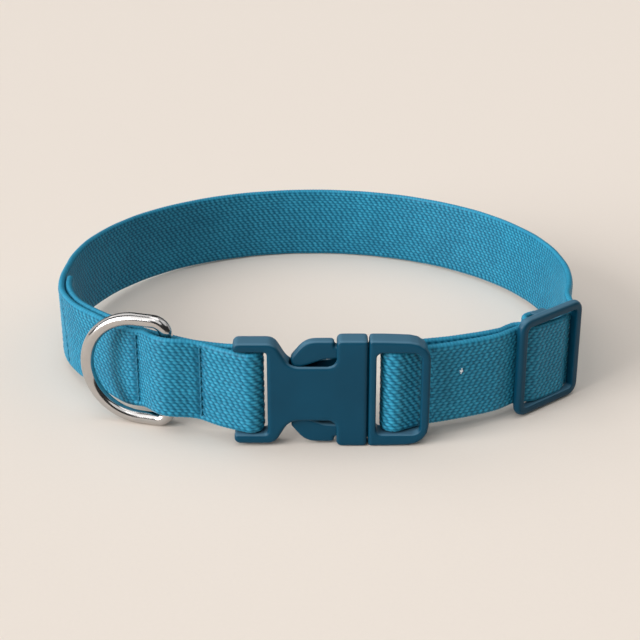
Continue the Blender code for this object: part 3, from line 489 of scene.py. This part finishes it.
def tube(points, radius, sides, closed=False):
    """Round wire or thread along the given points (metres), with pointed ends unless closed."""
    points = np.asarray(points, float)
    if closed:
        ahead = np.roll(points, -1, axis=0) - np.roll(points, 1, axis=0)
    else:
        ahead = np.gradient(points, axis=0)
    ahead /= np.linalg.norm(ahead, axis=1)[:, None]
    reference = np.array([0.0, 0.0, 1.0])
    if abs(ahead[0] @ reference) > 0.9:
        reference = np.array([1.0, 0.0, 0.0])
    up = reference - ahead[0] * (reference @ ahead[0])
    turns = np.linspace(0, 2 * math.pi, sides, endpoint=False)
    vertices = []
    for place, direction in zip(points, ahead):
        up = up - direction * (up @ direction)
        up /= np.linalg.norm(up)
        beside = np.cross(direction, up)
        vertices += [place + radius * (math.cos(t) * up + math.sin(t) * beside) for t in turns]
    rings = len(points)
    faces = []
    for i in range(rings if closed else rings - 1):
        j = (i + 1) % rings
        for k in range(sides):
            m = (k + 1) % sides
            faces.append((i * sides + k, i * sides + m, j * sides + m, j * sides + k))
    if not closed:
        start = len(vertices)
        vertices.append(points[0] - ahead[0] * radius * 0.7)
        vertices.append(points[-1] + ahead[-1] * radius * 0.7)
        for k in range(sides):
            m = (k + 1) % sides
            faces.append((start, m, k))
            faces.append((start + 1, (rings - 1) * sides + k, (rings - 1) * sides + m))
    return vertices, faces


def joined(name, parts):
    """One object from several vertex and face lists."""
    vertices, faces = [], []
    for more_vertices, more_faces in parts:
        start = len(vertices)
        vertices += [tuple(v) for v in more_vertices]
        faces += [tuple(start + i for i in face) for face in more_faces]
    mesh = bpy.data.meshes.new(name)
    mesh.from_pydata(vertices, [], faces)
    return linked(name, mesh)


# Materials

def new_material(name):
    material = bpy.data.materials.new(name)
    material.use_nodes = True
    nodes, links = material.node_tree.nodes, material.node_tree.links
    nodes.clear()
    shader = nodes.new("ShaderNodeBsdfPrincipled")
    output = nodes.new("ShaderNodeOutputMaterial")
    links.new(shader.outputs["BSDF"], output.inputs["Surface"])
    return material, nodes, links, shader


def object_place(nodes):
    return nodes.new("ShaderNodeTexCoord").outputs["Object"]


def attribute(nodes, name):
    node = nodes.new("ShaderNodeAttribute")
    node.attribute_name = name
    return node


def split(nodes, links, vector):
    node = nodes.new("ShaderNodeSeparateXYZ")
    links.new(vector, node.inputs[0])
    return node.outputs


def math_node(nodes, links, operation, *values):
    node = nodes.new("ShaderNodeMath")
    node.operation = operation
    for socket, value in zip(node.inputs, values):
        if isinstance(value, (int, float)):
            socket.default_value = value
        else:
            links.new(value, socket)
    return node.outputs[0]


def ramp(nodes, links, factor, stops):
    node = nodes.new("ShaderNodeValToRGB")
    elements = node.color_ramp.elements
    while len(elements) < len(stops):
        elements.new(0.5)
    for element, (place, colour) in zip(elements, stops):
        element.position = place
        element.color = (*colour, 1.0)
    links.new(factor, node.inputs["Fac"])
    return node.outputs["Color"]


def noise(nodes, links, vector, scale, detail=2.0, roughness=0.5):
    node = nodes.new("ShaderNodeTexNoise")
    node.inputs["Scale"].default_value = scale
    node.inputs["Detail"].default_value = detail
    node.inputs["Roughness"].default_value = roughness
    links.new(vector, node.inputs["Vector"])
    return node.outputs["Fac"]


def mixed(nodes, links, kind, factor, a, b):
    node = nodes.new("ShaderNodeMix")
    node.data_type = "RGBA"
    node.blend_type = kind
    for socket, value in ((node.inputs[0], factor), (node.inputs[6], a), (node.inputs[7], b)):
        if isinstance(value, (int, float)):
            socket.default_value = value
        elif isinstance(value, tuple):
            socket.default_value = (*value, 1.0)
        else:
            links.new(value, socket)
    return node.outputs[2]


def bump(nodes, links, height, strength, distance):
    node = nodes.new("ShaderNodeBump")
    node.inputs["Strength"].default_value = strength
    node.inputs["Distance"].default_value = distance
    links.new(height, node.inputs["Height"])
    return node.outputs["Normal"]


def webbing_material():
    """Dyed yarns with painted shade in the gaps and a painted sheen on the tops, by the height of the
    weave, with filaments and fuzz as bump.
    """
    material, nodes, links, shader = new_material("webbing_weave")
    strip = attribute(nodes, "strip").outputs["Vector"]
    weave = attribute(nodes, "weave").outputs["Fac"]
    parts = split(nodes, links, strip)
    # Painted shade in the gaps, seam grooves and selvedge hollows, painted sheen on the yarn tops
    base = ramp(nodes, links, weave, [(0.0, WEBBING_GAP_SHADED), (0.35, WEBBING_LOW), (0.85, WEBBING_TOP_WITH_SHEEN)])
    patches = noise(nodes, links, strip, scale=0.08, detail=3.0)
    patches = ramp(nodes, links, patches, [(0.3, (0.90, 0.91, 0.92)), (0.7, (1.08, 1.07, 1.06))])
    base = mixed(nodes, links, "MULTIPLY", 1.0, base, patches)
    yarns = noise(nodes, links, strip, scale=0.8)
    yarns = ramp(nodes, links, yarns, [(0.3, (0.86, 0.88, 0.9)), (0.7, (1.14, 1.12, 1.1))])
    base = mixed(nodes, links, "MULTIPLY", 1.0, base, yarns)
    links.new(base, shader.inputs["Base Color"])
    filaments = math_node(nodes, links, "MULTIPLY", parts["Y"], 30.0)
    slope = math_node(nodes, links, "MULTIPLY", parts["X"], 6.0)
    filaments = math_node(nodes, links, "ADD", filaments, slope)
    filaments = math_node(nodes, links, "SINE", filaments)
    fuzz = noise(nodes, links, strip, scale=7.0, detail=3.0)
    height = math_node(nodes, links, "MULTIPLY_ADD", filaments, 0.25, fuzz)
    links.new(bump(nodes, links, height, strength=0.35, distance=0.00006), shader.inputs["Normal"])
    rough = math_node(nodes, links, "MULTIPLY_ADD", fuzz, 0.22, 0.30)
    links.new(rough, shader.inputs["Roughness"])
    shader.inputs["Specular IOR Level"].default_value = 0.14
    shader.inputs["Sheen Weight"].default_value = 0.03
    shader.inputs["Sheen Roughness"].default_value = 0.40
    shader.inputs["Sheen Tint"].default_value = SHEEN_TINT
    return material


def thread_material():
    material, nodes, links, shader = new_material("sewing_thread")
    twist = noise(nodes, links, object_place(nodes), scale=2600.0)
    tone = ramp(nodes, links, twist, [(0.3, THREAD_LOW), (0.7, THREAD_TOP)])
    links.new(tone, shader.inputs["Base Color"])
    links.new(bump(nodes, links, twist, strength=0.4, distance=0.00008), shader.inputs["Normal"])
    shader.inputs["Roughness"].default_value = 0.55
    shader.inputs["Specular IOR Level"].default_value = 0.20
    shader.inputs["Sheen Weight"].default_value = 0.03
    return material


def fibre_material():
    material, nodes, links, shader = new_material("loose_fibre")
    tone = noise(nodes, links, object_place(nodes), scale=3000.0)
    tone = ramp(nodes, links, tone, [(0.3, FIBRE_LOW), (0.7, FIBRE_TOP)])
    links.new(tone, shader.inputs["Base Color"])
    shader.inputs["Roughness"].default_value = 0.6
    return material


def plastic_material():
    """Matt moulded plastic, paler where it faces up by a painted highlight."""
    material, nodes, links, shader = new_material("moulded_nylon")
    place = object_place(nodes)
    cloud = noise(nodes, links, place, scale=90.0, detail=3.0)
    low = tuple(c * 0.94 for c in PLASTIC_TONE)
    high = tuple(c * 1.06 for c in PLASTIC_TONE)
    parts = split(nodes, links, nodes.new("ShaderNodeNewGeometry").outputs["Normal"])
    # Painted highlight: faces turned up blend towards the paler tone
    painted_top_light = ramp(nodes, links, parts["Z"], [(0.35, (0, 0, 0)), (0.85, (1, 1, 1))])
    base = ramp(nodes, links, cloud, [(0.3, low), (0.7, high)])
    links.new(mixed(nodes, links, "MIX", painted_top_light, base, PLASTIC_TOP_HIGHLIGHT), shader.inputs["Base Color"])
    grain = noise(nodes, links, place, scale=5200.0, detail=3.0, roughness=0.6)
    pull = noise(nodes, links, place, scale=260.0)
    rough = math_node(nodes, links, "MULTIPLY_ADD", grain, 0.10, 0.24)
    rough = math_node(nodes, links, "MULTIPLY_ADD", pull, 0.08, rough)
    links.new(rough, shader.inputs["Roughness"])
    height = math_node(nodes, links, "MULTIPLY_ADD", pull, 0.6, grain)
    links.new(bump(nodes, links, height, strength=0.10, distance=0.00004), shader.inputs["Normal"])
    shader.inputs["Specular IOR Level"].default_value = 0.15
    return material


def steel_material():
    material, nodes, links, shader = new_material("polished_steel")
    place = object_place(nodes)
    cloud = noise(nodes, links, place, scale=220.0, detail=3.0)
    links.new(ramp(nodes, links, cloud, [(0.3, STEEL_LOW), (0.7, STEEL_TOP)]), shader.inputs["Base Color"])
    shader.inputs["Metallic"].default_value = 1.0
    scuff = noise(nodes, links, place, scale=1400.0, detail=4.0, roughness=0.65)
    rough = math_node(nodes, links, "MULTIPLY_ADD", scuff, 0.04, 0.12)
    links.new(rough, shader.inputs["Roughness"])
    links.new(bump(nodes, links, scuff, strength=0.03, distance=0.00001), shader.inputs["Normal"])
    return material


def floor_material():
    material, nodes, links, shader = new_material("floor_board")
    grain = noise(nodes, links, object_place(nodes), scale=900.0, detail=3.0)
    low = tuple(c * 0.99 for c in FLOOR_TONE)
    links.new(ramp(nodes, links, grain, [(0.3, low), (0.7, FLOOR_TONE)]), shader.inputs["Base Color"])
    shader.inputs["Roughness"].default_value = 0.8
    shader.inputs["Specular IOR Level"].default_value = 0.2
    return material


# Stage

def add_camera():
    data = bpy.data.cameras.new("camera")
    data.lens = CAMERA_LENS
    data.sensor_width = CAMERA_SENSOR
    data.clip_start, data.clip_end = CAMERA_CLIP
    camera = bpy.data.objects.new("camera", data)
    camera.location = CAMERA_PLACE
    camera.rotation_euler = (math.radians(90 - CAMERA_DOWN_DEGREES), 0, 0)
    bpy.context.scene.collection.objects.link(camera)
    bpy.context.scene.camera = camera


def add_floor():
    h, z = FLOOR_HALF, FLOOR_HEIGHT
    floor = joined("floor", [([(-h, -h, z), (h, -h, z), (h, h, z), (-h, h, z)], [(0, 1, 2, 3)])])
    floor.data.materials.append(floor_material())


def add_sun(name, towards, strength):
    data = bpy.data.lights.new(name, "SUN")
    data.energy = strength
    data.angle = math.radians(LIGHT_DEGREES)
    light = bpy.data.objects.new(name, data)
    light.rotation_euler = Vector(towards).to_track_quat("-Z", "Y").to_euler()
    bpy.context.scene.collection.objects.link(light)


def add_world():
    world = bpy.data.worlds.new("studio")
    bpy.context.scene.world = world
    world.use_nodes = True
    nodes, links = world.node_tree.nodes, world.node_tree.links
    nodes.clear()
    background = nodes.new("ShaderNodeBackground")
    output = nodes.new("ShaderNodeOutputWorld")
    links.new(background.outputs[0], output.inputs["Surface"])
    background.inputs["Color"].default_value = (*WORLD_TONE, 1.0)
    background.inputs["Strength"].default_value = 1.0


def add_lights():
    """A wide low key from the left and weaker wide lights round the object."""
    view = bpy.context.scene.view_settings
    view.view_transform = "Standard"
    view.look = "None"
    view.exposure = 0.0
    view.gamma = 1.0
    add_world()
    for name, azimuth, elevation, strength in LIGHTS:
        turn, rise = math.radians(azimuth), math.radians(elevation)
        towards = (-math.sin(turn) * math.cos(rise), math.cos(turn) * math.cos(rise), -math.sin(rise))
        add_sun(name, towards, strength)


# Pieces

def add_webbing():
    """The strip in lengths that meet in hidden places, its stitches and the loose fibre."""
    places, point, along, across, side, grid, normal, shade, height = strip_surface()
    material = webbing_material()
    cuts = [0] + [int(np.searchsorted(places, cut)) for cut in WEBBING_CUTS_MM] + [len(places) - 1]
    last_piece = len(WEBBING_NAMES) - 1
    for i, name in enumerate(WEBBING_NAMES):
        low, high = cuts[i], cuts[i + 1] + 1
        piece = grid_piece(name, grid[low:high], normal[low:high], shade[low:high],
                           height[low:high], i == 0, i == last_piece)
        piece.data.materials.append(material)
        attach(piece, "collar")
        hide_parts("strap")
    add_stitches(places, point, across, side)
    add_fibre(places, point, along, across, side)


def add_stitches(places, point, across, side):
    """Rows of arched stitches in the grooves of the sewn lines."""
    parts = []
    steps = np.linspace(0, 1, STITCH_STEPS)
    arch = STITCH_ARCH_MM * np.sin(math.pi * steps) - STITCH_BURY_MM
    reach = HALF_WIDTH_MM - STITCH_MARGIN_MM
    for place, amount, _ in seam_places(places, point):
        station = int(np.searchsorted(places, place))
        depth = HALF_THICKNESS_MM + STITCH_LIFT_MM - amount * STITCH_SINK
        v = -reach
        while v < reach - STITCH_MM:
            line = [point[station] + across[station] * (v + STITCH_MM * s) - side[station] * (depth + a)
                    for s, a in zip(steps, arch)]
            parts.append(tube(np.array(line) * MM, THREAD_MM * MM, THREAD_SIDES))
            v += STITCH_MM + STITCH_GAP_MM
    piece = joined("stitches", parts)
    piece.data.materials.append(thread_material())
    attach(piece, "collar")


def add_fibre(places, point, along, across, side):
    """Short crossed strands that stand out of the weave on the front right."""
    low, high = (int(np.searchsorted(places, WEBBING_CUTS_MM[3] - back)) for back in FLECK_SEARCH_MM)
    station = nearest_station(point, FLECK_MM, low, high)
    lift = HALF_THICKNESS_MM + FLECK_LIFT_MM
    centre = point[station] + across[station] * FLECK_ACROSS_MM - side[station] * lift
    strands = []
    for angle, reach in FLECK_STRANDS:
        way = across[station] * math.sin(angle) + along[station] * math.cos(angle)
        line = [centre + way * reach * t - side[station] * FLECK_BOW_MM * (1 - t * t)
                for t in np.linspace(-1.0, 1.0, FLECK_STEPS)]
        strands.append(tube(np.array(line) * MM, FLECK_RADIUS, FLECK_SIDES))
    piece = joined("loose_fibre", strands)
    piece.data.materials.append(fibre_material())
    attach(piece, "collar")


def add_plastic():
    """Each moulded piece from its CAD solid, with softened edges."""
    material = plastic_material()
    for node, name in MOULDED:
        piece = bpy.data.objects.new(name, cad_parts[node].data.copy())
        piece.data.materials.clear()
        bpy.context.scene.collection.objects.link(piece)
        bpy.context.view_layer.objects.active = piece
        for other in bpy.context.selected_objects:
            other.select_set(False)
        piece.select_set(True)
        remesh = piece.modifiers.new("remesh", "REMESH")
        remesh.mode = "VOXEL"
        remesh.voxel_size = VOXEL
        smooth = piece.modifiers.new("smooth", "SMOOTH")
        smooth.factor = SOFTENING_FACTOR
        smooth.iterations = SOFTENING
        for modifier in list(piece.modifiers):
            bpy.ops.object.modifier_apply(modifier=modifier.name)
        thin = piece.modifiers.new("thin", "DECIMATE")
        thin.ratio = KEPT_FACES
        bpy.ops.object.modifier_apply(modifier=thin.name)
        piece.data.polygons.foreach_set("use_smooth", np.ones(len(piece.data.polygons), bool))
        piece.data.materials.append(material)
        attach(piece, "collar")
        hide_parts(node)


def ring_path():
    """Round the ring from the bottom of its bar: distance from the bar, and along it."""
    half, corner, leg = RING_HALF, RING_CORNER, RING_LEG
    straight = half - corner
    corner_turns = np.linspace(0, math.pi / 2, CORNER_STEPS, endpoint=False)
    path = [(0.0, z) for z in np.linspace(-straight, straight, BAR_STEPS, endpoint=False)]
    path += [(corner * (1 - math.cos(t)), straight + corner * math.sin(t)) for t in corner_turns]
    path += [(x, half) for x in np.linspace(corner, leg, LEG_STEPS, endpoint=False)]
    path += [(leg + half * math.sin(t), half * math.cos(t))
             for t in np.linspace(0, math.pi, BOW_STEPS, endpoint=False)]
    path += [(x, -half) for x in np.linspace(leg, corner, LEG_STEPS, endpoint=False)]
    path += [(corner - corner * math.sin(t), -straight - corner * math.cos(t)) for t in corner_turns]
    return path


def add_ring():
    """The welded steel ring, finer than its solid, on the same path."""
    bar, axis, reach = np.array(RING_BAR), np.array(RING_AXIS), np.array(RING_DIRECTION)
    reach /= np.linalg.norm(reach)
    points = [bar + reach * x + axis * z for x, z in ring_path()]
    piece = joined("steel_ring", [tube(points, RING_WIRE / 2, WIRE_SIDES, closed=True)])
    piece.data.materials.append(steel_material())
    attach(piece, "ring")
    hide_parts("lead_ring")


add_camera()
add_floor()
add_lights()
add_webbing()
add_plastic()
add_ring()
